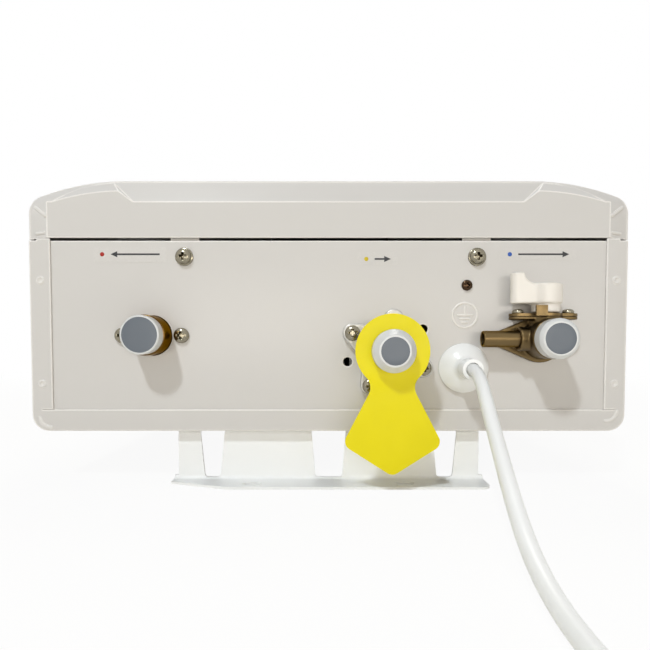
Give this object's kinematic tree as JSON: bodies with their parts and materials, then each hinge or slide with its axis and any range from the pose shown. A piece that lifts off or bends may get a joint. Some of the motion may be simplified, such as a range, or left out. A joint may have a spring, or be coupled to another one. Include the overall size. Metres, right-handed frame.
{
  "type": "tankless water heater",
  "caption": "Wall-hung gas water heater casing with capped hot, gas and cold connections, a shut-off valve with lever knob, a hang tag, a mains cord and slotted wall brackets.",
  "frame": {"origin": "on the wall plane under the brackets' feet, midway across the casing and midway between the gas cap's nose and the flue's end", "axes": "+X across the casing to the cold inlet's side, +Y up the casing as hung, +Z from the wall to the front cover"},
  "size_m": [0.363, 0.949, 0.1828],
  "materials": {
    "white_coat": "fine powder coat",
    "bracket_coat": "powder coat",
    "nickel": "nickel plated",
    "bronze_screw": "dark plated",
    "brass": "machined and cast",
    "cast_grey": "die cast",
    "cap_plastic": "translucent",
    "tag_plastic": "printed card film",
    "ivory_plastic": "moulded",
    "cord_white": "smooth jacket",
    "black_plastic": "moulded",
    "lens": "dark glossy lens",
    "grey_plastic": "moulded",
    "copper": "bare copper",
    "galvanised": "plated sheet",
    "motor": "dark enamel",
    "shaft": "ground",
    "ceramic": "fired",
    "gasket": "sheet",
    "board": "laminate"
  },
  "bodies": {
    "heater": {"rear_casing": "white_coat", "bottom_panel": "white_coat", "top_panel": "white_coat", "front_cover": "white_coat", "wall_bracket_lower": "bracket_coat", "wall_bracket_upper": "bracket_coat", "cover_screws": "nickel", "hot_outlet_screws": "nickel", "gas_inlet_screws": "nickel", "cold_valve_screws": "nickel", "bonnet_screws": "nickel", "flue_screws": "nickel", "plug_blades": "nickel", "earth_screw": "bronze_screw", "hot_outlet": "brass", "cold_valve_body": "brass", "drain_tube": "brass", "gas_nozzles": "brass", "valve_bonnet": "brass", "gas_inlet": "cast_grey", "gas_valve": "cast_grey", "gas_manifold": "cast_grey", "cord_gland": "ivory_plastic", "plug_body": "ivory_plastic", "power_cord": "cord_white", "cord_coil": "cord_white", "cord_tie": "black_plastic", "igniter": "black_plastic", "gas_valve_coils": "black_plastic", "display_housing": "black_plastic", "display_lens": "lens", "gland_nut": "grey_plastic", "flow_sensor_body": "grey_plastic", "flow_guides": "grey_plastic", "control_box": "grey_plastic", "cold_pipe": "copper", "hot_pipe": "copper", "heat_exchanger_coil": "copper", "heat_exchanger_fins": "copper", "combustion_chamber": "galvanised", "burner_tray": "galvanised", "burner_bars": "galvanised", "fan_housing": "galvanised", "flue_hood": "galvanised", "flue_collar": "galvanised", "chamber_rails": "galvanised", "gas_riser": "galvanised", "fan_motor": "motor", "electrodes": "ceramic", "flue_gasket": "gasket", "control_board": "board"},
    "valve_handle": {"valve_knob": "ivory_plastic", "valve_stem": "brass"},
    "fan_rotor": {"fan_impeller": "shaft", "fan_shaft": "shaft"},
    "flow_turbine": {"flow_rotor": "grey_plastic"},
    "tag": {"gas_tag": "tag_plastic"},
    "hot_cap": {"hot_dust_cap": "cap_plastic"},
    "gas_cap": {"gas_dust_cap": "cap_plastic"},
    "cold_cap": {"cold_dust_cap": "cap_plastic"}
  },
  "joints": [
    {"name": "valve_turn", "type": "hinge", "parent": "heater", "child": "valve_handle", "pos_m": [0.126, -0.3105, 0.103], "axis": [0, 0, 1], "range_deg": [0, 90]},
    {"name": "fan_spin", "type": "hinge", "parent": "heater", "child": "fan_rotor", "pos_m": [-0.038, -0.1735, 0.1], "axis": [0, 0, 1], "continuous": true},
    {"name": "turbine_spin", "type": "hinge", "parent": "heater", "child": "flow_turbine", "pos_m": [0.126, -0.2603, 0.0873], "axis": [0, 1, 0], "continuous": true},
    {"name": "tag_swing", "type": "hinge", "parent": "heater", "child": "tag", "pos_m": [0.0355, -0.3265, 0.0805], "axis": [0, 1, 0], "range_deg": [-35, 35]},
    {"name": "hot_cap_pull", "type": "slide", "parent": "heater", "child": "hot_cap", "axis": [0, -1, 0], "range_m": [0, 0.02]},
    {"name": "gas_cap_pull", "type": "slide", "parent": "heater", "child": "gas_cap", "axis": [0, -1, 0], "range_m": [0, 0.02]},
    {"name": "cold_cap_pull", "type": "slide", "parent": "heater", "child": "cold_cap", "axis": [0, -1, 0], "range_m": [0, 0.02]}
  ]
}
